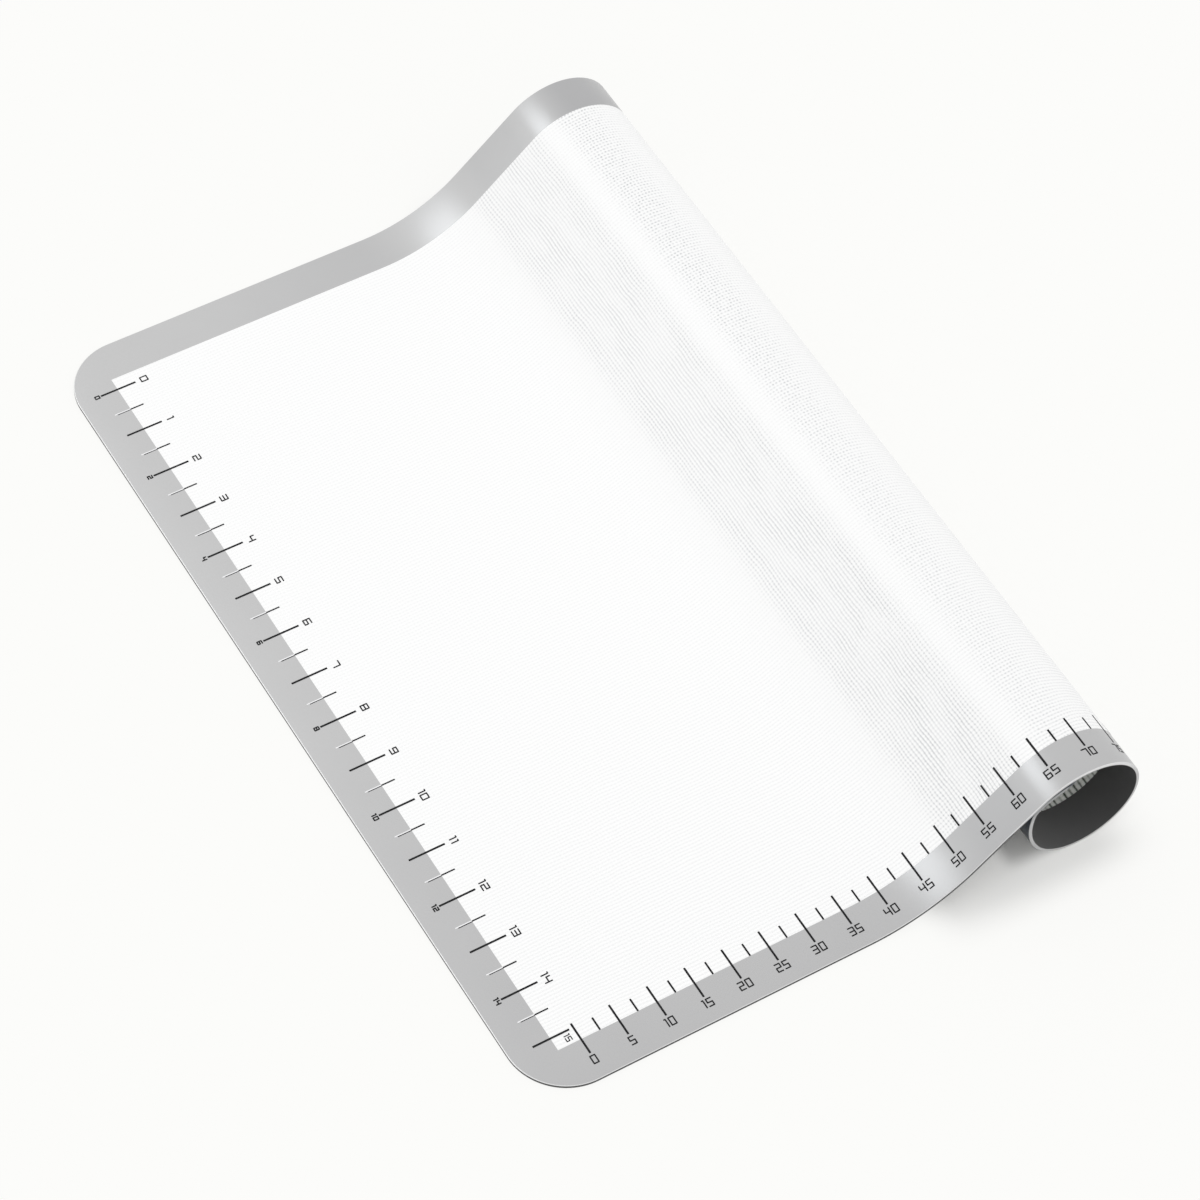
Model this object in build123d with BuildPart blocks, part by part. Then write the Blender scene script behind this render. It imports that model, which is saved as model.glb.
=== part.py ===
from build123d import *
from math import cos, degrees, radians, sin, sqrt
import os

# A flexible silicone baking mat, lying with one end flat and the other end rising over a single
# turn of roll. Lengths are in millimetres. A station is a distance along the mat's underside
# from its flat end, and a height is a distance up from that underside, square to the sheet.
# X runs from the flat end to the roll, Y across the mat, and the front edge is the one at -Y.

# The mat as it is cut
mat_width = 432.0
mat_length = 457.0
mat_thickness = 1.5
corner_radius = 27.0
border_width = 19.3
skin_thickness = 0.6
edge_cover = 4.0

# How it lies: a flat run, a sweep up, a straight ramp, a crown, and one turn that tucks under
ramp_angle = 43.6
sweep_radius = 72.0
ramp_run = 40.0
crown_radius = 29.7
heel_angle = 55.0
cheek_angle = 43.0
tuck_radius = 5.5
tuck_lead = 3.55
tucked_run = 37.8
nest_gap = 0.3
cut_overrun = 0.1

# The printed rulers
ink_thickness = 0.1
long_tick_width = 0.5
short_tick_width = 0.4
front_pitch = 18.0
front_first_tick = 10.8
front_long_on_border = 7.4
front_long_on_white = 8.2
front_short_on_white = 6.4
front_number_on_border = 10.1
front_count_per_tick = 5
side_pitch = 25.4
side_margin = 20.0
side_long_on_border = 8.3
side_long_on_white = 8.9
side_short_on_border = 7.8
side_short_on_white = 6.4
side_number_on_white = 13.1
edge_number_on_border = 10.4
edge_number_count = 2
corner_number_on_white = 6.5
corner_number_drop = 3.1

# The printed digits: to the middle of the pen strokes
front_digit_width = 2.6
front_digit_height = 4.3
front_digit_gap = 1.2
front_digit_stroke = 0.5
side_digit_width = 2.6
side_digit_height = 2.8
side_digit_gap = 1.1
side_digit_stroke = 0.45
edge_digit_width = 1.5
edge_digit_height = 2.4
edge_digit_gap = 0.8
edge_digit_stroke = 0.4

# Each digit's pen strokes, as shares of its width and height
digit_shares = {
    "0": [(0, 0), (1, 0), (1, 1), (0, 1), (0, 0)],
    "1": [(0.1, 0.75), (0.55, 1), (0.55, 0)],
    "2": [(0, 0.8), (0, 1), (1, 1), (1, 0.62), (0, 0), (1, 0)],
    "3": [(0, 1), (1, 1), (0.4, 0.6), (1, 0.5), (1, 0), (0, 0)],
    "4": [(0.75, 0), (0.75, 1), (0, 0.35), (1, 0.35)],
    "5": [(1, 1), (0, 1), (0, 0.56), (1, 0.56), (1, 0), (0, 0)],
    "6": [(1, 1), (0, 1), (0, 0), (1, 0), (1, 0.55), (0, 0.55)],
    "7": [(0, 1), (1, 1), (0.35, 0)],
    "8": [(0, 0.53), (0, 1), (1, 1), (1, 0), (0, 0), (0, 0.53), (1, 0.53)],
    "9": [(0, 0), (1, 0), (1, 1), (0, 1), (0, 0.45), (1, 0.45)],
}

# What follows from the sizes above
half_width = mat_width / 2
core_thickness = mat_thickness - 2 * skin_thickness
core_margin = edge_cover + corner_radius * (1 - sqrt(1 / 2))
layer_pitch = mat_thickness + nest_gap
ink_top = mat_thickness + ink_thickness
rise = radians(ramp_angle)
crown_height = (sweep_radius + crown_radius) * (1 - cos(rise)) + ramp_run * sin(rise)
belly_radius = crown_height - crown_radius - ink_top


def fall(before, after):
    """How far an arc of radius 1 drops from the ramp, between two turns from its heading."""
    return cos(radians(before)) - cos(radians(after))


def gain(before, after):
    """How far an arc of radius 1 gets along the ramp, between two turns from its heading."""
    return sin(radians(after)) - sin(radians(before))


# The heel's and the cheek's radius close the turn: the tucked end lies one layer below the ramp,
# and leaves it for the crown a little before the crown starts
belly_start = ramp_angle + 90
heel_start = belly_start + 90
cheek_start = heel_start + heel_angle
tuck_start = cheek_start + cheek_angle
other_arcs = [
    (crown_radius, 0, belly_start),
    (belly_radius, belly_start, heel_start),
    (tuck_radius, tuck_start, 360),
]
missing_fall = layer_pitch - sum(radius * fall(*turns) for radius, *turns in other_arcs)
missing_gain = -tuck_lead - sum(radius * gain(*turns) for radius, *turns in other_arcs)
heel_fall, heel_gain = fall(heel_start, cheek_start), gain(heel_start, cheek_start)
cheek_fall, cheek_gain = fall(cheek_start, tuck_start), gain(cheek_start, tuck_start)
crossing = heel_fall * cheek_gain - cheek_fall * heel_gain
heel_radius = (missing_fall * cheek_gain - missing_gain * cheek_fall) / crossing
cheek_radius = (missing_gain * heel_fall - missing_fall * heel_gain) / crossing

tucked_radius = crown_radius - layer_pitch
# Each bend after the flat run: its radius, plus when it bends up, and the angle that it turns
bends = [
    (sweep_radius, ramp_angle),
    (None, ramp_run),
    (-crown_radius, belly_start),
    (-belly_radius, 90),
    (-heel_radius, heel_angle),
    (-cheek_radius, cheek_angle),
    (-tuck_radius, 360 - tuck_start),
    (-tucked_radius, degrees(tucked_run / tucked_radius)),
]


def bend_length(radius, turn):
    return turn if radius is None else abs(radius) * radians(turn)


flat_run = mat_length - sum(bend_length(*bend) for bend in bends)


def lay_course():
    """The sheet's underside as stretches: start and end station, start point, heading, radius."""
    stretches = []
    station, x, z, heading = 0, 0, 0, 0
    for radius, turn in [(None, flat_run)] + bends:
        length = bend_length(radius, turn)
        stretches.append((station, station + length, x, z, heading, radius))
        if radius is None:
            x += length * cos(radians(heading))
            z += length * sin(radians(heading))
        else:
            after = heading + (turn if radius > 0 else -turn)
            x += radius * (sin(radians(after)) - sin(radians(heading)))
            z -= radius * (cos(radians(after)) - cos(radians(heading)))
            heading = after
        station += length
    return stretches


course = lay_course()
roll_end_x = course[3][2] + crown_radius * (1 + sin(rise)) + mat_thickness
middle_x = roll_end_x / 2
tucked_start = course[-1][0]


def place_on(stretch, station, height):
    """The point of one stretch at a station and a height, and the heading there in degrees."""
    start, _, x, z, heading, radius = stretch
    x, run = x - middle_x, station - start
    if radius is None:
        x += run * cos(radians(heading))
        z += run * sin(radians(heading))
    else:
        after = heading + degrees(run / radius)
        x += radius * (sin(radians(after)) - sin(radians(heading)))
        z -= radius * (cos(radians(after)) - cos(radians(heading)))
        heading = after
    return x - height * sin(radians(heading)), z + height * cos(radians(heading)), heading


def place(station, height):
    """The point of the sheet at a station and a height, and the heading there in degrees."""
    stretch = next((s for s in course if station < s[1]), course[-1])
    return place_on(stretch, station, height)


def strip(start, end, low, high):
    """Draw one strip of the sheet between two stations and two heights, seen from the front."""
    pieces = [s for s in course if s[0] < end and s[1] > start]
    with BuildLine() as outline:
        for number, stretch in enumerate(pieces):
            begin = start if number == 0 else stretch[0]
            finish = end if stretch is pieces[-1] else stretch[1]
            for height in (low, high):
                x1, z1, before = place_on(stretch, begin, height)
                x2, z2, after = place_on(stretch, finish, height)
                radius = stretch[5]
                if radius is None:
                    Line((x1, z1), (x2, z2))
                else:
                    bent = abs(radius - height)
                    centre_x = x1 - (radius - height) * sin(radians(before))
                    centre_z = z1 + (radius - height) * cos(radians(before))
                    side = -90 if radius > 0 else 90
                    CenterArc((centre_x, centre_z), bent, before + side, after - before)
        for stretch, station in ((pieces[0], start), (pieces[-1], end)):
            Line(place_on(stretch, station, low)[:2], place_on(stretch, station, high)[:2])
    make_face(outline.edges())


def surface_plane(station, across, turned=0):
    """A plane on the mat's top side, with its x along the mat unless it is turned."""
    x, z, heading = place(station, mat_thickness)
    along = Vector(cos(radians(heading)), 0, sin(radians(heading)))
    outward = Vector(-sin(radians(heading)), 0, cos(radians(heading)))
    return Plane(origin=(x, across, z), x_dir=along, z_dir=outward).rotated((0, 0, turned))


# The rounded corners: what is cut away at the flat end and at the tucked end
with BuildPart() as flat_corners:
    with BuildSketch():
        with Locations((-middle_x, half_width)):
            Rectangle(corner_radius, corner_radius, align=(Align.MIN, Align.MAX))
        with Locations((corner_radius - middle_x, half_width - corner_radius)):
            Circle(corner_radius, mode=Mode.SUBTRACT)
    extrude(amount=ink_top, both=True)
    mirror(about=Plane.XZ)

half_corner_turn = degrees(corner_radius / tucked_radius) / 2
corner_middle = mat_length - corner_radius / 2
corner_reach = 2 * (tucked_radius + mat_thickness) * sin(radians(half_corner_turn))
with BuildPart() as tucked_corners:
    with BuildSketch(surface_plane(corner_middle, half_width)):
        with Locations((corner_reach / 2, 0)):
            Rectangle(
                corner_reach + cut_overrun,
                corner_radius + cut_overrun,
                align=(Align.MAX, Align.CENTER),
            )
        with Locations((-corner_reach / 2, -corner_radius)):
            Ellipse(corner_reach, corner_radius, mode=Mode.SUBTRACT)
    extrude(amount=corner_radius / 2, both=True)
    with BuildSketch(Plane.XZ):
        past_end, past_top = mat_length + cut_overrun, mat_thickness + cut_overrun
        strip(mat_length - corner_radius, past_end, -cut_overrun, past_top)
    extrude(amount=mat_width, both=True, mode=Mode.INTERSECT)
    mirror(about=Plane.XZ)

# The woven glass mesh that keeps the mat from stretching, sealed between the silicone skins
with BuildPart() as glass_mesh_core:
    with BuildSketch(Plane.XZ):
        strip(core_margin, mat_length - core_margin, skin_thickness, skin_thickness + core_thickness)
    extrude(amount=half_width - core_margin, both=True)

# The white silicone above the mesh, inside the border
with BuildPart() as top_silicone_skin:
    with BuildSketch(Plane.XZ):
        strip(border_width, mat_length - border_width, mat_thickness - skin_thickness, mat_thickness)
    extrude(amount=half_width - border_width, both=True)

# The white silicone below the mesh, inside the border
with BuildPart() as bottom_silicone_skin:
    with BuildSketch(Plane.XZ):
        strip(border_width, mat_length - border_width, 0, skin_thickness)
    extrude(amount=half_width - border_width, both=True)

# The grey silicone border, moulded round the edge of the mesh
with BuildPart() as border_frame:
    with BuildSketch(Plane.XZ):
        strip(0, mat_length, 0, mat_thickness)
    extrude(amount=half_width, both=True)
    with BuildSketch(Plane.XZ):
        strip(border_width, mat_length - border_width, -cut_overrun, mat_thickness + cut_overrun)
    extrude(amount=half_width - border_width, both=True, mode=Mode.SUBTRACT)
    with BuildSketch(Plane.XZ):
        strip(core_margin, mat_length - core_margin, skin_thickness, skin_thickness + core_thickness)
    extrude(amount=half_width - core_margin, both=True, mode=Mode.SUBTRACT)
    add(flat_corners.part, mode=Mode.SUBTRACT)
    add(tucked_corners.part, mode=Mode.SUBTRACT)

# The front ruler follows the front edge over the roll. It leaves the tucked corner bare.
front_start = border_width + front_first_tick
last_front_station = mat_length - corner_radius
front_ticks = int((last_front_station - front_start) / front_pitch) + 1
front_stations = [front_start + number * front_pitch for number in range(front_ticks)]

with BuildPart() as front_ruler_long_ticks:
    with BuildSketch(Plane.XZ.offset(half_width - border_width + front_long_on_border)):
        for station in front_stations:
            strip(station - long_tick_width / 2, station + long_tick_width / 2, mat_thickness, ink_top)
    extrude(amount=-front_long_on_border - front_long_on_white)

with BuildPart() as front_ruler_short_ticks:
    with BuildSketch(Plane.XZ.offset(half_width - border_width)):
        for station in front_stations[:-1]:
            middle = station + front_pitch / 2
            strip(middle - short_tick_width / 2, middle + short_tick_width / 2, mat_thickness, ink_top)
    extrude(amount=-front_short_on_white)


# What each kind of number is drawn with: digit width, digit height, gap and pen stroke
front_digits = (front_digit_width, front_digit_height, front_digit_gap, front_digit_stroke)
side_digits = (side_digit_width, side_digit_height, side_digit_gap, side_digit_stroke)
edge_digits = (edge_digit_width, edge_digit_height, edge_digit_gap, edge_digit_stroke)


def draw_number(text, width, height, gap, stroke):
    """Draw a number's digits, centred, as pen strokes with round ends."""
    left = -(len(text) * width + (len(text) - 1) * gap) / 2
    for digit in text:
        points = [Vector(left + u * width, (v - 1 / 2) * height) for u, v in digit_shares[digit]]
        for begin, finish in zip(points, points[1:]):
            middle, run = (begin + finish) / 2, finish - begin
            with Locations(middle):
                SlotCenterToCenter(run.length, stroke, rotation=Vector(1, 0, 0).get_signed_angle(run))
        left += width + gap


front_number_across = border_width - front_number_on_border - half_width


def front_number(number, station):
    """One number of the front ruler, bent over the sheet that it is printed on."""
    text = str(number * front_count_per_tick)
    reach = (len(text) * (front_digit_width + front_digit_gap) + front_digit_stroke) / 2
    with BuildPart() as printed:
        with BuildSketch(surface_plane(station, front_number_across)):
            draw_number(text, *front_digits)
        extrude(amount=front_digit_height / 2, both=True)
        with BuildSketch(Plane.XZ):
            strip(station - reach, station + reach, mat_thickness, ink_top)
        extrude(amount=half_width, both=True, mode=Mode.INTERSECT)
    return printed.part


front_prints = [front_number(number, station) for number, station in enumerate(front_stations)]
with BuildPart() as front_ruler_numbers:
    add(front_prints)

# The side ruler runs along the flat end, from the back edge to the front, centred on the mat
side_ticks = int((mat_width - 2 * side_margin) / side_pitch) + 1
side_length = (side_ticks - 1) * side_pitch
side_places = [side_length / 2 - number * side_pitch for number in range(side_ticks)]
side_halves = [place - side_pitch / 2 for place in side_places[:-1]]


def side_tick(on_border, on_white, width, places):
    """Draw a row of ticks that reach some way on the border and some way on the white."""
    for place in places:
        with Locations((border_width + (on_white - on_border) / 2 - middle_x, place)):
            Rectangle(on_border + on_white, width)


with BuildPart() as side_ruler_long_ticks:
    with BuildSketch(Plane.XY.offset(mat_thickness)):
        side_tick(side_long_on_border, side_long_on_white, long_tick_width, side_places)
    extrude(amount=ink_thickness)

with BuildPart() as side_ruler_short_ticks:
    with BuildSketch(Plane.XY.offset(mat_thickness)):
        side_tick(0, side_short_on_white, short_tick_width, side_halves)
    extrude(amount=ink_thickness)

with BuildPart() as side_ruler_pale_ticks:
    with BuildSketch(Plane.XY.offset(mat_thickness)):
        side_tick(side_short_on_border, 0, short_tick_width, side_halves)
    extrude(amount=ink_thickness)


def side_plane(station, across):
    """A plane on the flat end for a number whose top points to the roll."""
    return surface_plane(station, across, turned=-90)


# The last number is a small one beside its tick, clear of the front ruler's first tick
with BuildPart() as side_ruler_numbers:
    for number, across in enumerate(side_places[:-1]):
        with BuildSketch(side_plane(border_width + side_number_on_white, across)):
            draw_number(str(number), *side_digits)
    corner_across = side_places[-1] - corner_number_drop
    with BuildSketch(side_plane(border_width + corner_number_on_white, corner_across)):
        draw_number(str(side_ticks - 1), *edge_digits)
    extrude(amount=ink_thickness)

with BuildPart() as side_ruler_edge_numbers:
    for number, across in enumerate(side_places):
        if number % edge_number_count == 0:
            with BuildSketch(side_plane(border_width - edge_number_on_border, across)):
                draw_number(str(number), *edge_digits)
    extrude(amount=ink_thickness)

# Name each piece and write it
pieces = {
    "glass_mesh_core": glass_mesh_core,
    "top_silicone_skin": top_silicone_skin,
    "bottom_silicone_skin": bottom_silicone_skin,
    "border_frame": border_frame,
    "front_ruler_long_ticks": front_ruler_long_ticks,
    "front_ruler_short_ticks": front_ruler_short_ticks,
    "front_ruler_numbers": front_ruler_numbers,
    "side_ruler_long_ticks": side_ruler_long_ticks,
    "side_ruler_short_ticks": side_ruler_short_ticks,
    "side_ruler_pale_ticks": side_ruler_pale_ticks,
    "side_ruler_numbers": side_ruler_numbers,
    "side_ruler_edge_numbers": side_ruler_edge_numbers,
}
os.makedirs("parts", exist_ok=True)
for name, piece in pieces.items():
    piece.part.label = name
    export_step(piece.part, f"parts/{name}.step")
print(f"flat run {flat_run:.2f}, belly radius {belly_radius:.2f}")
print(f"heel radius {heel_radius:.2f}, cheek radius {cheek_radius:.2f}")
print(f"tucked end starts at station {tucked_start:.2f}; the roll ends at x {roll_end_x:.2f}")
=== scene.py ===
# %% [markdown]
# # A silicone baking mat with one end rolled up
# The mat is a single thin sheet. Woven glass cloth lies between two skins of silicone, a grey
# border is moulded round the edge, and two rulers are printed on top. In the photograph one end
# lies flat and the other has sprung up into a roll.
# The CAD model gives the sizes and the way the sheet lies. It is loaded first, as a fixed frame.

from math import asin, cos, degrees, pi, radians, sin

import bmesh
import bpy
from mathutils import Matrix, Vector


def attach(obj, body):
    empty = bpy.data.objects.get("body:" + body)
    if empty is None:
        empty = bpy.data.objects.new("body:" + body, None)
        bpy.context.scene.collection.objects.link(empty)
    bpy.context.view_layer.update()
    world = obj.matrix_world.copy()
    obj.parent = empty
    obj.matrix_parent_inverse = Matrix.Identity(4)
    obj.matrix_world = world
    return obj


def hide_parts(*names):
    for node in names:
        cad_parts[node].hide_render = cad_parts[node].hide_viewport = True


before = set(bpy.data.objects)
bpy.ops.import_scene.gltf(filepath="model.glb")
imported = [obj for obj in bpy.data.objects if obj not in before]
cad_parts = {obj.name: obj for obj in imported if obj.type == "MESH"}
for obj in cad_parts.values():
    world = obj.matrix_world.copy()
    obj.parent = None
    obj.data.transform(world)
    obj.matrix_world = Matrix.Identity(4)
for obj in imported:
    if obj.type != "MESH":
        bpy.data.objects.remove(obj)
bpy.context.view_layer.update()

# %% [markdown]
# ## Draw it flat, then roll it up
# A rolled sheet could be modelled in place, but its corners, its border and every printed digit
# would then have to be drawn on a curve. It is easier to do what the factory does: make the mat
# flat, print it flat, and bend it last. A place on the flat mat is a station, the distance from
# the flat end, a distance across, and a height above the underside. One function turns that
# place into a point of the rolled mat. It follows the same arcs as the CAD model.

# %% Sizes of the flat mat, in metres
mat_width, mat_length, mat_thickness = 0.432, 0.457, 0.0015
corner_radius, border_width = 0.027, 0.0193
skin_thickness, cloth_margin = 0.0006, 0.0119081
half_width = mat_width / 2
cloth_low, cloth_high = skin_thickness, mat_thickness - skin_thickness
x_axis, z_axis = 0, 2
print(f"flat mat: {mat_length * 1000:.0f} by {mat_width * 1000:.0f} mm")

# %% The stretches that the underside follows: radius, plus when it bends up, and angle or length
slope_turn, heel_turn, cheek_turn = 43.6, 55, 43
tuck_turn = 360 - slope_turn - 180 - heel_turn - cheek_turn
crown_radius = 0.0297
end_radius, end_length = 0.0279, 0.0378
stretches = [
    ("flat part", None, 0.158412),
    ("sweep", 0.072, radians(slope_turn)),
    ("ramp", None, 0.040),
    ("crown", -crown_radius, radians(slope_turn) + pi / 2),
    ("belly", -0.0243365, pi / 2),
    ("heel", -0.0271981, radians(heel_turn)),
    ("cheek", -0.0382698, radians(cheek_turn)),
    ("tuck", -0.0055, radians(tuck_turn)),
    ("tucked end", -end_radius, end_length / end_radius),
]
middle_x = 0.14435733  # half of the rolled mat's length, so that its middle is at x = 0


# %% Go along one stretch
def follow(x, z, heading, radius, run):
    """The place and heading after a run along an arc, or straight on where there is no radius."""
    if radius is None:
        return x + run * cos(heading), z + run * sin(heading), heading
    turned = heading + run / radius
    x += radius * (sin(turned) - sin(heading))
    z -= radius * (cos(turned) - cos(heading))
    return x, z, turned


# %% Lay the stretches end to end
course = []
station, x, z, heading = 0, -middle_x, 0, 0
for name, radius, reach in stretches:
    length = reach if radius is None else abs(radius) * reach
    course.append((station, station + length, x, z, heading, radius))
    x, z, heading = follow(x, z, heading, radius, length)
    station += length
    print(f"{name}: up to {station * 1000:.1f} mm of the sheet")


# %% Find any place of the flat mat on the rolled one
def lay(place):
    """The point of the rolled mat for a station, a distance across and a height."""
    station, across, height = place
    stretch = next((each for each in course if station < each[1]), course[-1])
    start, _, x, z, heading, radius = stretch
    x, z, heading = follow(x, z, heading, radius, station - start)
    return Vector((x - height * sin(heading), across, z + height * cos(heading)))


crown_start = next(start for start, _, _, _, _, radius in course if radius == -crown_radius)
roll_top = lay((crown_start + crown_radius * radians(slope_turn), 0, mat_thickness))
print("top of the roll in millimetres:", [round(value * 1000, 1) for value in roll_top])

# %% [markdown]
# ## Cut, bend and finish one flat piece
# A mesh bends only where it has edges. So each flat piece is sliced across at steps of three
# degrees of bend, which is fine enough to look round in close view. Its flat place is kept as a
# UV map before it is bent, because the weave and the moulded grain must follow the sheet. Its
# height above the underside is kept too, as an attribute that a material can read.

# %% Where the sheet is sliced
crease_angle = radians(3)
creases = []
for start, end, _, _, _, radius in course:
    steps = 1 if radius is None else round((end - start) / abs(radius) / crease_angle)
    creases += [start + (end - start) * step / steps for step in range(steps)]
creases = creases[1:]
print(len(creases), "slices")


# %% Draw a flat rectangle
def rectangle(flat, near, far, strips=1):
    """Add a flat rectangle between two corners, in one or more strips across."""
    (s1, a1), (s2, a2) = near, far
    place = Matrix.Translation(((s1 + s2) / 2, (a1 + a2) / 2, 0))
    place = place @ Matrix.Diagonal((s2 - s1, a2 - a1, 1, 1))
    bmesh.ops.create_grid(flat, x_segments=1, y_segments=strips, size=0.5, matrix=place)


# %% Cut a flat mesh across
cut_slack = 1e-7


def cut(flat, axis, level):
    """Slice a mesh along a plane that is square to an axis, and keep both sides."""
    spot, facing = [0, 0, 0], [0, 0, 0]
    spot[axis], facing[axis] = level, 1
    everything = flat.verts[:] + flat.edges[:] + flat.faces[:]
    bmesh.ops.bisect_plane(flat, geom=everything, dist=cut_slack, plane_co=spot, plane_no=facing)


# %% Round the corners of a flat outline
def round_corners(flat, corners, offset, segments):
    """Round some corners of a flat outline."""
    bmesh.ops.bevel(
        flat,
        geom=corners,
        offset=offset,
        segments=segments,
        profile=0.5,
        affect="VERTICES",
        material=-1,
    )


# %% Give a flat outline its thickness
def extrude(flat, faces):
    """Extrude some faces, and return the corners that this makes."""
    made = bmesh.ops.extrude_face_region(flat, geom=faces)["geom"]
    return [part for part in made if isinstance(part, bmesh.types.BMVert)]


def thicken(flat, low, high):
    """Turn the flat faces into a closed slab between two heights."""
    bmesh.ops.translate(flat, verts=flat.verts, vec=(0, 0, low))
    bmesh.ops.translate(flat, verts=extrude(flat, flat.faces[:]), vec=(0, 0, high - low))
    bmesh.ops.recalc_face_normals(flat, faces=flat.faces)


# %% Keep the flat place of a mesh
def remember_flat(flat):
    """Keep each point's station and distance across as a UV map, and its height."""
    height = flat.verts.layers.float.new("height")
    for vert in flat.verts:
        vert[height] = vert.co.z
    flat_map = flat.loops.layers.uv.new("flat")
    for face in flat.faces:
        for loop in face.loops:
            loop[flat_map].uv = loop.vert.co.xy


# %% Bend a flat mesh and turn it into an object
sharp_angle = radians(35)


def roll_up(flat, name, finishes):
    """Slice the flat mesh, keep its flat place, bend it, and dress it."""
    stations = [vert.co.x for vert in flat.verts]
    for crease in creases:
        if min(stations) < crease < max(stations):
            cut(flat, x_axis, crease)
    remember_flat(flat)
    for vert in flat.verts:
        vert.co = lay(vert.co)
    for face in flat.faces:
        face.smooth = True
    bmesh.ops.recalc_face_normals(flat, faces=flat.faces)
    mesh = bpy.data.meshes.new(name)
    flat.to_mesh(mesh)
    flat.free()
    mesh.set_sharp_from_angle(angle=sharp_angle)
    piece = bpy.data.objects.new(name, mesh)
    bpy.context.scene.collection.objects.link(piece)
    for finish in finishes:
        mesh.materials.append(finish)
    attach(piece, "root")
    print(f"{name}: {len(mesh.polygons)} faces")
    return piece


# %% [markdown]
# ## Write shader sums as Python sums
# A material is a graph of small nodes. Written node by node it is hard to read, so a wire
# carries one value and knows how to add itself to another. Any other node comes from one method,
# which the materials and the sky share.

# %% A value in a material
class Wire:
    """One output of a node. A sum on wires adds Math nodes beside it."""

    def __init__(self, socket):
        self.socket = socket

    def math(self, operation, *values):
        """Add one Math node."""
        node = self.socket.id_data.nodes.new("ShaderNodeMath")
        node.operation = operation
        for socket, value in zip(node.inputs, values):
            plug(socket, value)
        return Wire(node.outputs[0])

    def __add__(self, other):
        return self.math("ADD", self, other)

    def __radd__(self, other):
        return self.math("ADD", other, self)

    def __sub__(self, other):
        return self.math("SUBTRACT", self, other)

    def __rsub__(self, other):
        return self.math("SUBTRACT", other, self)

    def __mul__(self, other):
        return self.math("MULTIPLY", self, other)

    def __rmul__(self, other):
        return self.math("MULTIPLY", other, self)

    def __pow__(self, other):
        return self.math("POWER", self, other)

    def __abs__(self):
        return self.math("ABSOLUTE", self)

    def wave(self, pitch):
        """A soft groove, 1 deep and one pitch apart."""
        turns = self * (2 * pi / pitch)
        return 0.5 + 0.5 * turns.math("COSINE", turns)


def plug(socket, value):
    """Set a socket to a number or a colour, or link a wire to it."""
    if isinstance(value, Wire):
        socket.id_data.links.new(value.socket, socket)
    else:
        socket.default_value = value


# %% The nodes of a material or of the sky
class Graph:
    """A node tree, with a method that adds any node to it."""

    def __init__(self, tree):
        self.nodes = tree.nodes

    def node(self, kind, settings=(), values=(), output=0):
        """Add a node: its settings first, then its sockets. Returns one of its outputs."""
        node = self.nodes.new(kind)
        for name, value in dict(settings).items():
            setattr(node, name, value)
        for name, value in dict(values).items():
            plug(node.inputs[name], value)
        return Wire(node.outputs[output])

    def part(self, vector, letter):
        """The X, Y or Z of a vector."""
        return self.node("ShaderNodeSeparateXYZ", (), {0: vector}, letter)


# %% A material
class Finish(Graph):
    """One material, with the patterns that its formulas are made of."""

    def __init__(self, name):
        self.material = bpy.data.materials.new(name)
        self.material.use_nodes = True
        super().__init__(self.material.node_tree)
        self.shader = self.nodes["Principled BSDF"]

    def flat_place(self):
        """The place on the flat mat as a vector, and its station and distance across."""
        place = self.node("ShaderNodeUVMap", {"uv_map": "flat"})
        return place, self.part(place, "X"), self.part(place, "Y")

    def stretch(self, place, factors):
        """Scale a vector, so that a pattern on it is drawn out one way."""
        values = {0: place, 1: factors}
        return self.node("ShaderNodeVectorMath", {"operation": "MULTIPLY"}, values)

    def noise(self, place, scale, detail=2):
        """Soft random patches between 0 and 1."""
        values = {"Vector": place, "Scale": scale, "Detail": detail}
        return self.node("ShaderNodeTexNoise", {"noise_dimensions": "3D"}, values)

    def rise(self, value, low, high, bottom=0.0, top=1.0):
        """Go smoothly from one level to another while the value goes from low to high."""
        values = {"Value": value, 1: low, 2: high, 3: bottom, 4: top}
        return self.node("ShaderNodeMapRange", {"interpolation_type": "SMOOTHSTEP"}, values)

    def between(self, value, fade_in, fade_out):
        """1 while the value lies between two places, 0 outside them, with soft ends."""
        return self.rise(value, *fade_in) * self.rise(value, *fade_out, bottom=1.0, top=0.0)

    def blend(self, share, first, second):
        """Mix two colours."""
        values = {0: share, 6: first, 7: second}
        return self.node("ShaderNodeMix", {"data_type": "RGBA"}, values, 2)

    def set(self, **values):
        """Set or link sockets of the shader, such as Base_Color."""
        for name, value in values.items():
            plug(self.shader.inputs[name.replace("_", " ")], value)

    def relief(self, height, distance, strength=1.0):
        """Shade the surface as if it had this relief."""
        values = {"Height": height, "Distance": distance, "Strength": strength}
        self.set(Normal=self.node("ShaderNodeBump", (), values))


# %% [markdown]
# ## The white silicone and the weave under it
# The white field is silicone over glass cloth. The yarns lie 1.65 mm apart and print through as
# fine grooves. Where the sheet lies flat they hardly show. Where it bends, the grooves that run
# across the mat are painted grey as the shade that light across the slope would give, so the
# strength of the weave follows the station. Over the crown they break up into rows of short
# dashes. A photograph of cloth could be used, but a formula stays sharp and tiles for ever.

# %% The yarns of the cloth
yarn_pitch = 0.00165
wander_size, fray_size = 0.0022, 0.0004


def weave(finish, place, station, across, rib_pitch=yarn_pitch):
    """Grooves across the mat, grooves along it, and the fine patches that fray both."""
    wander = (finish.noise(place, scale=55) - 0.5) * wander_size
    fine = finish.noise(place, scale=900, detail=1)
    fray = (fine - 0.5) * fray_size
    ribs = (station + wander + fray).wave(rib_pitch)
    rows = (across - wander + fray).wave(yarn_pitch)
    return ribs, rows, fine


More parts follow.
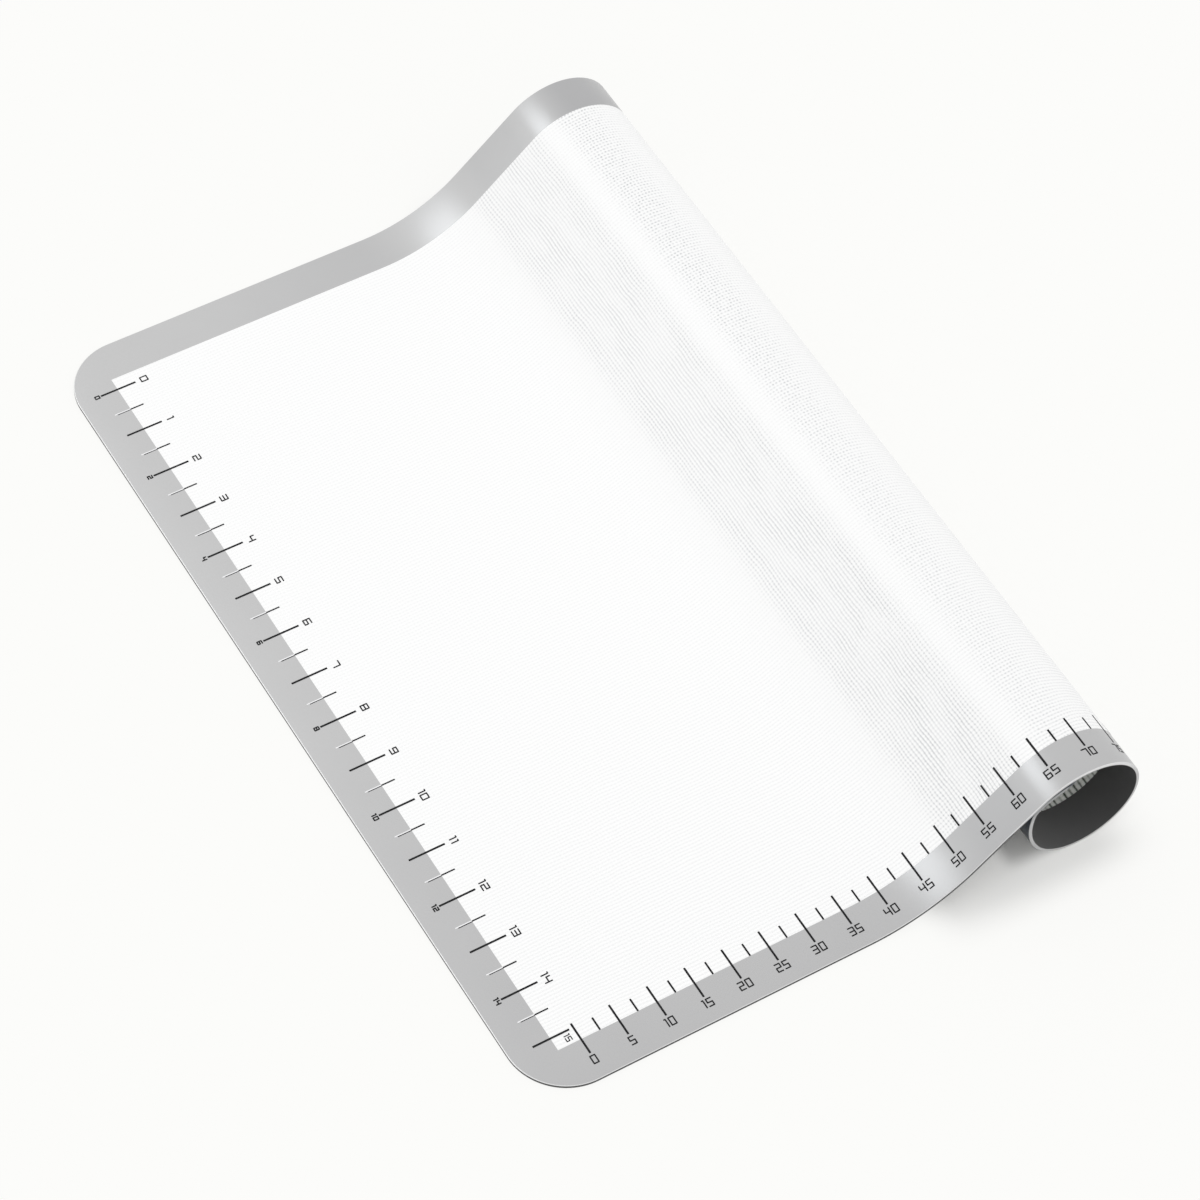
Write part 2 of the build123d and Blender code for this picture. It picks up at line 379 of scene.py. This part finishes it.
# %% The patterns in the white silicone
white = Finish("white_silicone")
place, station, across = white.flat_place()
ribs, rows, fine = weave(white, place, station, across)
lines = ribs**3 * (0.6 + 0.4 * white.rise(fine, 0.3, 0.62)) * (1 - 0.35 * rows)
dots = (ribs * rows) ** 1.5
staggered = (station + 0.25 * across.wave(2 * yarn_pitch) * yarn_pitch).wave(yarn_pitch)
tufts = white.rise(white.noise(place, scale=350), 0.35, 0.65)
dashes = staggered * rows**1.6 * (0.4 + 0.7 * tufts)
clouds = white.noise(white.stretch(place, (1, 0.3, 1)), scale=110, detail=3)
patchy = 0.55 + 0.9 * white.rise(clouds, 0.3, 0.7)

# %% Where each pattern shows, by station and by distance across, in metres
# Painted shade: the grooves are darkened most on the ramp and over the crown, and more at the front
# than at the back.
ramp = white.between(station, fade_in=(0.207, 0.226), fade_out=(0.246, 0.260))
crown = white.between(station, fade_in=(0.262, 0.272), fade_out=(0.276, 0.296))
edge_on = white.rise(station, 0.286, 0.300)
near_lines = white.rise(across, -0.2, 0.1, bottom=0.75, top=0.55)
near_rows = white.rise(across, -0.2, 0.0, bottom=0.07, top=0.025)
far_dashes = white.rise(across, -0.15, 0.15, bottom=0.2, top=0.36)
# The weave's own grooves, with painted shade where the sheet bends.
weave_and_painted_shade = (
    ramp * near_lines * patchy * (0.36 * lines + 0.06 * dots)
    + ramp * (1 - ramp) * 0.5 * dots
    + crown * (far_dashes * dashes + 0.02 * ribs)
    + rows**2 * (near_rows + 0.05 * edge_on) * (0.4 + fine)
    + dots * 0.045
)

# %% White silicone
silicone_white, groove_grey = (0.976, 0.977, 0.975, 1), (0.0, 0.025, 0.06, 1)
white.set(
    Base_Color=white.blend(weave_and_painted_shade, silicone_white, groove_grey),
    Roughness=0.6 + 0.1 * fine,
    Specular_IOR_Level=0.2,
)
white.relief(0 - ribs**2 - rows**2 * 0.8, distance=0.00004, strength=0.5)
print("white silicone:", len(white.nodes), "nodes")

# %% [markdown]
# ## The grey silicone border
# The border has no cloth pattern on it, only the fine pebbled grain of a mould and a faint
# cloudiness. Its bright spots come from the light. The softer stretches between them could be
# chased with more lamps, but those would upset the white field, so they are painted into the
# colour as light and shade: lighter towards the back, darker on the slope, and at the far side
# darker again just before the rise and over the crest. Where the end tucks in under the ramp, the
# top is painted nearly black as shade.
# On the underside the border is a dark grey, a little lighter towards the inner turn, which is
# what the open end of the roll shows. Where the mat lies down, that dark grey is drawn up the edge
# almost to the top as a painted contact shadow, so it shows as a fine dark line round the mat,
# with a painted highlight above it as a light line. The kept height says how far up the edge a
# point is.

# %% The grey silicone's grain, its dark layer below, and the painted contact shadow at its foot
grey = Finish("grey_silicone")
place, station, across = grey.flat_place()
height = grey.node(
    "ShaderNodeAttribute", {"attribute_type": "GEOMETRY", "attribute_name": "height"}, (), "Fac"
)
cloud = grey.noise(place, scale=30, detail=3)
grain = grey.noise(place, scale=2600, detail=1)
# Painted contact shadow: where the mat lies down, the dark underside grey reaches 1.3 mm up the
# edge; where it is rolled, only its own thin layer.
foot_shadow_height, dark_rolled, dark_blur = 0.0013, 0.00006, 0.00004
less_behind = grey.rise(across, -half_width, -0.19, bottom=1.0, top=0.85)
dark_and_shadow_top = less_behind * grey.rise(station, 0.232, 0.250, bottom=foot_shadow_height, top=dark_rolled)
upper = grey.rise(height - dark_and_shadow_top, -dark_blur, dark_blur)

# %% The painted light and shade of its top, over a faint cloudiness
back_half = grey.rise(across, -0.2, 0.05) * grey.rise(station, 0.245, 0.272, bottom=1.0, top=0.0)
slope = grey.between(station, fade_in=(0.212, 0.226), fade_out=(0.245, 0.254))
far_side = grey.rise(across, 0.0, 0.15)
crest = far_side * grey.rise(station, 0.262, 0.278)
far_dip = far_side * grey.between(station, fade_in=(0.05, 0.15), fade_out=(0.155, 0.18))
# Painted light and shade over a random cloudiness: lighter towards the back, darker on the slope,
# over the far crest and in the far dip.
painted_light_and_cloud = 0.5 + 0.2 * cloud + 0.37 * back_half - 0.3 * slope - 0.5 * crest - 0.33 * far_dip
darker_grey, lighter_grey = (0.4, 0.4, 0.406, 1), (0.535, 0.535, 0.535, 1)
top_grey = grey.blend(painted_light_and_cloud, darker_grey, lighter_grey)

# %% The painted highlight along its rim, and the painted shadow in the nook under the ramp
# Painted highlight: a light line along the top of the rim, reaching lower on the flat part and
# fading to a tenth over the roll.
rim_highlight_low = grey.rise(station, 0.25, 0.30, bottom=0.001, top=0.0001)
rim_highlight_high = grey.rise(height, 0.00146, mat_thickness, bottom=1.0, top=0.0)
rim_highlight = grey.rise(height - rim_highlight_low, 0.0, 0.0002) * rim_highlight_high
rim_highlight = rim_highlight * grey.rise(station, 0.295, 0.315, bottom=1.0, top=0.1)
painted_rim_highlight, nook_shadow_colour = (0.78, 0.78, 0.78, 1), (0.012, 0.02, 0.035, 1)
rim_grey = grey.blend(rim_highlight, top_grey, painted_rim_highlight)
end_wall = grey.rise(abs(across), 0.2154, 0.2158)
end_wall = end_wall * grey.rise(station, 0.41, 0.42, bottom=1.0, top=0.6)
# Painted shadow: the top is nearly black where the end tucks in under the ramp.
nook_shadow = grey.rise(station, 0.378, 0.396) * (1 - end_wall)
upper_grey = grey.blend(nook_shadow, rim_grey, nook_shadow_colour)

# %% Grey silicone
under_dark, under_light = (0.062, 0.062, 0.063, 1), (0.08, 0.08, 0.08, 1)
under_grey = grey.blend(cloud, under_dark, under_light)
inner_turn, inner_grey = grey.rise(station, 0.335, 0.40), (0.17, 0.17, 0.17, 1)
lower_grey = grey.blend(inner_turn, under_grey, inner_grey)
grey.set(
    Base_Color=grey.blend(upper, lower_grey, upper_grey),
    Roughness=0.5 - upper * 0.2 + 0.06 * grain,
)
grey.relief(grain, distance=0.00002, strength=0.35)
print("grey silicone:", len(grey.nodes), "nodes")

# %% [markdown]
# ## The underside of the white field
# Underneath, the silicone is thin and the cloth lies bare to the eye: whitish yarns with dark
# gaps between them. The same weave formula gives it, with wider ribs and far more contrast.

# %% Bare silicone
under_pitch = 0.0026
bare = Finish("bare_silicone")
place, station, across = bare.flat_place()
ribs, rows, fine = weave(bare, place, station, across, under_pitch)
patches = bare.noise(bare.stretch(place, (1, 0.25, 1)), scale=300)
gaps = ribs**2.5 * (0.4 + 0.6 * bare.rise(patches, 0.38, 0.6)) + rows**3 * 0.1
yarn_white, gap_dark = (0.99, 1.0, 0.96, 1), (0.05, 0.07, 0.05, 1)
bare.set(
    Base_Color=bare.blend(gaps, yarn_white, gap_dark),
    Roughness=0.5 + 0.1 * fine,
)
bare.relief(0 - ribs**2 - rows**2 * 0.5, distance=0.00015, strength=0.6)

# %% Glass cloth
glass = Finish("glass_cloth")
ribs, rows, fine = weave(glass, *glass.flat_place())
glass_white, glass_shade = (0.80, 0.80, 0.76, 1), (0.30, 0.30, 0.28, 1)
glass.set(
    Base_Color=glass.blend(ribs * rows, glass_white, glass_shade),
    Roughness=0.4 + 0.2 * fine,
)
glass.relief(0 - ribs - rows, distance=0.0001)

# %% [markdown]
# ## Ink
# The rulers are printed, so the ink is a thin film with a dull surface and a little unevenness.
# On the border the half marks are printed in a pale ink, each with a thin black line beside it as a
# painted shadow.


# %% Black and pale ink
def ink(name, thin, thick):
    """A printed ink that is a little uneven."""
    finish = Finish(name)
    place, _, _ = finish.flat_place()
    spread = finish.noise(place, scale=1500)
    finish.set(
        Base_Color=finish.blend(spread, thin, thick),
        Roughness=0.6 + 0.15 * spread,
        Specular_IOR_Level=0.1,
    )
    return finish.material


black_ink = ink("black_ink", thin=(0.018, 0.018, 0.019, 1), thick=(0.006, 0.006, 0.007, 1))
pale_ink = ink("pale_ink", thin=(0.86, 0.86, 0.87, 1), thick=(0.95, 0.95, 0.96, 1))

# %% [markdown]
# ## The three layers inside the border
# Each layer is one rectangle. A grid gives it, and an extrusion gives it its thickness. The two
# skins end where the border's window ends. The cloth runs on under the border, because that is
# how the border holds it.


# %% Cut a layer
def layer(name, margin, low, high, finish):
    """A rectangular layer of the mat, a margin in from its edges, between two heights."""
    flat = bmesh.new()
    near = (margin, margin - half_width)
    far = (mat_length - margin, half_width - margin)
    rectangle(flat, near, far, strips=8)
    thicken(flat, low, high)
    return roll_up(flat, name, [finish.material])


top_skin = layer("top_skin", border_width, cloth_high, mat_thickness, white)
bottom_skin = layer("bottom_skin", border_width, 0, cloth_low, bare)
cloth_sheet = layer("cloth", cloth_margin, cloth_low, cloth_high, glass)

# %% [markdown]
# ## The border
# The border starts as the whole mat: one face whose four corners are bevelled round. Four cuts
# mark out the window, and its middle is taken away. Extruded, it is a flat ring. The inner wall
# gets the slot that holds the cloth, and the top edge of the outer rim is bevelled round, as a
# moulded edge is. That rounding is small, but it catches some light; the thin line of light seen
# all round the mat is mostly a painted highlight in the grey silicone.

# %% Outline and window
window = (
    (border_width, mat_length - border_width),
    (border_width - half_width, half_width - border_width),
)
touching = 1e-6


def in_window(place):
    """Whether a place lies on the window's edge or inside it."""
    pairs = zip(place, window)
    return all(low - touching < value < high + touching for value, (low, high) in pairs)


flat = bmesh.new()
rectangle(flat, (0, -half_width), (mat_length, half_width))
round_corners(flat, flat.verts[:], corner_radius, segments=28)
for axis, edges in enumerate(window):
    for edge in edges:
        cut(flat, axis, edge)
middle = [face for face in flat.faces if in_window(face.calc_center_median())]
bmesh.ops.delete(flat, geom=middle, context="FACES")
thicken(flat, 0, mat_thickness)
print("border ring:", len(flat.faces), "faces")

# %% The slot for the cloth
for level in (cloth_low, cloth_high):
    cut(flat, z_axis, level)
inner_wall = [face for face in flat.faces if in_window(face.calc_center_median())]
slot = [face for face in inner_wall if cloth_low < face.calc_center_median().z < cloth_high]
slot_depth = border_width - cloth_margin
for vert in extrude(flat, slot):
    for axis, (low, high) in enumerate(window):
        if vert.co[axis] < low + touching:
            vert.co[axis] -= slot_depth
        elif vert.co[axis] > high - touching:
            vert.co[axis] += slot_depth
bmesh.ops.delete(flat, geom=[face for face in slot if face.is_valid], context="FACES_ONLY")
print("faces in the slot's floor:", len(slot))

# %% The rounded rim
rim_round = 0.0004


def tops_the_rim(edge):
    """Whether an edge runs along the top of the outer rim."""
    level = all(vert.co.z > mat_thickness - touching for vert in edge.verts)
    walls = [face for face in edge.link_faces if abs(face.normal.z) < 0.5]
    return level and len(walls) == 1 and not in_window(walls[0].calc_center_median())


flat.normal_update()
rim = [edge for edge in flat.edges if tops_the_rim(edge)]
bmesh.ops.bevel(
    flat, geom=rim, offset=rim_round, segments=3, profile=0.5, affect="EDGES", material=-1
)
border = roll_up(flat, "border", [grey.material])

# %% [markdown]
# ## The ruler marks
# A mark is a thin slab of ink. It could be painted in the material, but then it would have no
# edge of its own in close view. A face with slightly rounded corners is thickened instead, and
# sunk a little so that no gap shows under it on the bends.

# %% A set of marks
ink_low, ink_high = mat_thickness - 0.00005, mat_thickness + 0.00006
mark_round = 0.0001


def marks(name, boxes, finish, painted_shadows=()):
    """A set of marks, each from one station and distance across to another.

    The painted shadows are more marks in the same set: thin black lines beside others, in black
    ink.
    """
    flat = bmesh.new()
    for near, far in [*boxes, *painted_shadows]:
        rectangle(flat, near, far)
    round_corners(flat, flat.verts[:], mark_round, segments=2)
    thicken(flat, ink_low, ink_high)
    for face in flat.faces:
        s, a, _ = face.calc_center_median()
        in_painted_shadow = any(s1 < s < s2 and a1 < a < a2 for (s1, a1), (s2, a2) in painted_shadows)
        face.material_index = int(in_painted_shadow)
    return roll_up(flat, name, [finish, black_ink])


# %% One mark of either ruler, by its middle and how far its two edges lie from that
long_edges, short_edges = (-0.00045, 0.00045), (-0.0004, 0.0004)
front_line = border_width - half_width


def front_mark(station, edges, low, high):
    """A mark that runs across the mat, between two distances from the border's inner edge."""
    return (station + edges[0], front_line + low), (station + edges[1], front_line + high)


def side_mark(across, edges, low, high):
    """A mark that runs along the mat, between two distances from the border's inner edge."""
    return (border_width + low, across + edges[0]), (border_width + high, across + edges[1])


# %% Marks of the front ruler
front_start, front_step, front_count = 0.0301, 0.018, 23
front_stations = [front_start + front_step * number for number in range(front_count)]
front_halves = [station + front_step / 2 for station in front_stations[:-1]]
front_long = marks(
    "front_long_marks",
    [front_mark(station, long_edges, low=-0.0074, high=0.0082) for station in front_stations],
    black_ink,
)
front_short = marks(
    "front_short_marks",
    [front_mark(station, short_edges, low=0, high=0.0064) for station in front_halves],
    black_ink,
)

# %% Marks of the side ruler, one inch apart
inch = 0.0254
side_start, side_count = 0.1905, 16
dark_edges, pale_edges, painted_shadow_edges = (-0.0004, 0.00025), (-0.0001, 0.0004), (-0.0005, -0.00012)
side_places = [side_start - inch * number for number in range(side_count)]
side_halves = [across - inch / 2 for across in side_places[:-1]]
side_long = marks(
    "side_long_marks",
    [side_mark(across, long_edges, low=-0.0083, high=0.0089) for across in side_places],
    black_ink,
)
side_short = marks(
    "side_short_marks",
    [side_mark(across, dark_edges, low=0, high=0.0064) for across in side_halves],
    black_ink,
)
side_pale = marks(
    "side_pale_marks",
    [side_mark(across, pale_edges, low=-0.0078, high=0) for across in side_halves],
    pale_ink,
    # Painted shadow: a thin black line beside each pale mark.
    [side_mark(across, painted_shadow_edges, low=-0.0066, high=0) for across in side_halves],
)

# %% [markdown]
# ## The numbers
# The numbers are small and square, like the digits of a steel rule. Blender can set type, but its
# letters are round. Each digit here is punched from a plate instead: a plate is cut by two lines
# one way and four the other, and the cells that the digit doesn't use fall out. Its outer corners
# are then rounded. A one is narrower: it keeps only a short flag beside its stroke.

# %% Which cells each digit keeps, row by row from the top
punched = {
    "0": "### #.# #.# #.# ###",
    "1": "##. .#. .#. .#. .#.",
    "2": "### ..# ### #.. ###",
    "3": "### ..# ### ..# ###",
    "4": "#.# #.# ### ..# ..#",
    "5": "### #.. ### ..# ###",
    "6": "### #.. ### #.# ###",
    "7": "### ..# ..# ..# ..#",
    "8": "### #.# ### #.# ###",
    "9": "### #.# ### ..# ###",
}

# %% Punch one digit
flag_share, digit_round = 0.2, 0.45


def punch(digit, wide, tall, stroke):
    """One digit as flat faces, from the origin to the right and up. Returns how wide it is."""
    narrow = digit == "1"
    left = wide * flag_share if narrow else stroke
    wide = left + stroke if narrow else wide
    columns = [left, wide if narrow else wide - stroke]
    bars = [stroke, (tall - stroke) / 2, (tall + stroke) / 2, tall - stroke]
    plate = bmesh.new()
    rectangle(plate, (0, 0), (wide, tall))
    for axis, levels in enumerate((columns, bars)):
        for level in levels:
            cut(plate, axis, level)
    kept = punched[digit].split()[::-1]
    unused = []
    for face in plate.faces:
        x, y, _ = face.calc_center_median()
        if kept[sum(y > bar for bar in bars)][sum(x > column for column in columns)] == ".":
            unused.append(face)
    bmesh.ops.delete(plate, geom=unused, context="FACES")
    corners = [vert for vert in plate.verts if len(vert.link_faces) == 1]
    round_corners(plate, corners, stroke * digit_round, segments=3)
    return plate, wide


# %% Set a number
def print_number(flat, text, station, across, wide, tall, gap, stroke, turned=0.0):
    """Add a number to the flat mesh, centred on a place."""
    digits = [punch(digit, wide, tall, stroke) for digit in text]
    total = sum(width for _, width in digits) + gap * (len(digits) - 1)
    pen = -total / 2
    for plate, width in digits:
        place = Matrix.Translation((station, across, 0)) @ Matrix.Rotation(turned, 4, "Z")
        place = place @ Matrix.Translation((pen, -tall / 2, 0))
        bmesh.ops.transform(plate, matrix=place, verts=plate.verts)
        mesh = bpy.data.meshes.new("digit")
        plate.to_mesh(mesh)
        plate.free()
        flat.from_mesh(mesh)
        bpy.data.meshes.remove(mesh)
        pen += width + gap


def numbers(name, entries):
    """A set of printed numbers: text, station, distance across, and the size of its digits."""
    flat = bmesh.new()
    for entry in entries:
        print_number(flat, *entry)
    thicken(flat, ink_low, ink_high)
    return roll_up(flat, name, [black_ink])


# %% Width, height, gap and stroke of the digits, and how far a number is turned
quarter_turn = -pi / 2
front_size = (0.0028, 0.0043, 0.0007, 0.0006)
side_size = (0.0031, 0.0037, 0.0007, 0.0006, quarter_turn)
corner_size = (0.0021, 0.0029, 0.0005, 0.00045, quarter_turn)
edge_size = (0.002, 0.0026, 0.0004, 0.0006, quarter_turn)

# %% The numbers of both rulers
front_across = front_line - 0.0106
side_station, edge_station = border_width + 0.0131, border_width - 0.0101
corner_place = border_width + 0.0065, side_places[-1] - 0.0031
front_entries = [
    (str(5 * number), station, front_across, *front_size)
    for number, station in enumerate(front_stations)
]
front_numbers = numbers("front_numbers", front_entries)
side_entries = [
    (str(number), side_station, across, *side_size)
    for number, across in enumerate(side_places[:-1])
]
side_entries.append(("15", *corner_place, *corner_size))
side_numbers = numbers("side_numbers", side_entries)
edge_entries = [
    (str(number), edge_station, side_places[number], *edge_size)
    for number in range(0, side_count, 2)
]
edge_numbers = numbers("edge_numbers", edge_entries)

# %% [markdown]
# ## Tie the pieces to the CAD
# Each piece stands for one CAD node and is listed with its finish slot. The CAD node's own part is
# hidden.

# %% Nodes and slots
stands_for = [
    (top_skin, "top_silicone_skin", "white_silicone"),
    (bottom_skin, "bottom_silicone_skin", "bare_silicone"),
    (cloth_sheet, "glass_mesh_core", "glass_mesh"),
    (border, "border_frame", "grey_silicone"),
    (front_long, "front_ruler_long_ticks", "black_ink"),
    (front_short, "front_ruler_short_ticks", "black_ink"),
    (front_numbers, "front_ruler_numbers", "black_ink"),
    (side_long, "side_ruler_long_ticks", "black_ink"),
    (side_short, "side_ruler_short_ticks", "black_ink"),
    (side_pale, "side_ruler_pale_ticks", "pale_ink"),
    (side_numbers, "side_ruler_numbers", "black_ink"),
    (edge_numbers, "side_ruler_edge_numbers", "black_ink"),
]
for piece, node, slot_name in stands_for:
    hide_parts(node)
print(len(stands_for), "pieces, each for one CAD node")

# %% [markdown]
# ## The floor
# The photograph has a plain white ground with a pale soft shadow. The floor is an ordinary dull
# white surface. To the camera alone it also glows, as brightly as open floor looks, so the glow
# changes no colour in the open but fills the shadows. Most of the floor glows by nine tenths. By
# the ends of the roll the share falls to a third, and to nothing under the sheet, because the
# photograph's shadow is dark there and ends soon after.

# %% The floor's surface
floor_reach, floor_drop = 3, 0.0001
floor_mesh = bmesh.new()
bmesh.ops.create_grid(floor_mesh, x_segments=1, y_segments=1, size=floor_reach)
bmesh.ops.translate(floor_mesh, verts=floor_mesh.verts, vec=(0, 0, -floor_drop))
mesh = bpy.data.meshes.new("floor")
floor_mesh.to_mesh(mesh)
floor_mesh.free()
floor = bpy.data.objects.new("floor", mesh)
bpy.context.scene.collection.objects.link(floor)
print(f"floor: {2 * floor_reach} m wide")

# %% Where it glows less, along the mat and sideways from the middle of the shadow
paper = Finish("floor_paper")
floor_place = paper.node("ShaderNodeTexCoord", output="Object")
shadow_middle = -0.006
along = paper.part(floor_place, "X")
aside = abs(paper.part(floor_place, "Y") - shadow_middle)
by_roll = paper.between(along, fade_in=(0.036, 0.056), fade_out=(0.125, 0.16))
under_sheet = paper.rise(along, 0.082, 0.091) * paper.rise(aside, 0.202, 0.211, bottom=1.0, top=0.0)
outside = paper.rise(aside, 0.215, 0.235)
share = 0.9 - by_roll * (0.58 + 0.32 * under_sheet - 0.58 * outside)

# %% White paper, and its glow for the camera
paper_white, glow_white = (0.962, 0.962, 0.947, 1), (0.9734, 0.9734, 0.957, 1)
paper.set(Base_Color=paper_white, Roughness=1.0, Specular_IOR_Level=0.0)
seen = paper.node("ShaderNodeLightPath", output="Is Camera Ray")
glow = paper.node("ShaderNodeEmission", (), {"Color": glow_white})
surface = Wire(paper.shader.outputs[0])
mixed = paper.node("ShaderNodeMixShader", (), {0: seen * share, 1: surface, 2: glow})
plug(paper.nodes["Material Output"].inputs["Surface"], mixed)
floor.data.materials.append(paper.material)

# %% [markdown]
# ## Light
# The mat is lit almost evenly from all round, so its bends hardly shade. The highlights on the
# grey border say where the one bright light was. They lie where the sheet slopes up by about
# thirty degrees, at the foot of the rise and again near its top. Mirrored there, the camera's
# line of sight points up to the left and back, so a long soft box hangs there. It is seen only
# as a reflection, because as a lamp it would shade the roll too hard. The even light comes from
# the sky, a little stronger from above and from behind than from the front horizon.


# %% Stand something up by the three ways it faces
def stand(thing, spot, right, top, toward):
    """Put an object at a spot, with its own X, Y and Z along three directions."""
    turn = Matrix((right, top, toward)).transposed().to_4x4()
    thing.matrix_world = Matrix.Translation(spot) @ turn
    bpy.context.scene.collection.objects.link(thing)


# %% Soft box
box_width, box_length, box_distance = 0.65, 1.4, 1.5
to_light = Vector((-0.505, 0.40, 0.76)).normalized()
long_side = (Vector((0, 1, 0)) - to_light * to_light.y).normalized()
long_side = Matrix.Rotation(radians(-10), 3, to_light) @ long_side
short_side = long_side.cross(to_light)
box_light = bpy.data.lights.new("soft_box", "AREA")
box_light.shape, box_light.size, box_light.size_y = "RECTANGLE", box_width, box_length
box_light.energy = 29
box_light.color = (0.93, 0.97, 1.0)
soft_box = bpy.data.objects.new("soft_box", box_light)
soft_box.visible_diffuse = False
stand(soft_box, to_light * box_distance, short_side, long_side, to_light)
print(f"soft box: {box_width} by {box_length} m, {box_distance} m away")

# %% Even light from all round, which the camera sees as plain white
world = bpy.data.worlds.new("surroundings")
bpy.context.scene.world = world
world.use_nodes = True
sky = Graph(world.node_tree)
at_horizon, more_above, more_behind = 0.73, 0.42, 0.16
direction = sky.node("ShaderNodeTexCoord", output="Generated")
above, behind = sky.part(direction, "Z"), sky.part(direction, "Y")
brightness = above * more_above + behind * more_behind + at_horizon
seen = sky.node("ShaderNodeLightPath", output="Is Camera Ray")
background = sky.nodes["Background"]
plug(background.inputs["Color"], (1, 1, 1, 1))
plug(background.inputs["Strength"], brightness * (1 - seen) + seen)

# %% [markdown]
# ## Camera
# The camera's place and turn were solved from the mat's corners and ruler marks in the
# photograph. It looks down by 54 degrees through a long lens.

# %% Camera
camera = bpy.data.objects.new("camera", bpy.data.cameras.new("camera"))
camera.data.lens, camera.data.sensor_width = 128.0, 36.0
camera.data.clip_start, camera.data.clip_end = 0.05, 50
to_right = Vector((0.856429, -0.513042, 0.057595))
to_top = Vector((0.38733, 0.712287, 0.585339))
backward = to_right.cross(to_top)
camera_place = (-0.62775, -0.90049, 1.50096)
stand(camera, camera_place, to_right, to_top, backward)
bpy.context.scene.camera = camera
bpy.context.scene.view_settings.view_transform = "Standard"
print(f"camera looks down by {degrees(asin(backward.z)):.0f} degrees")
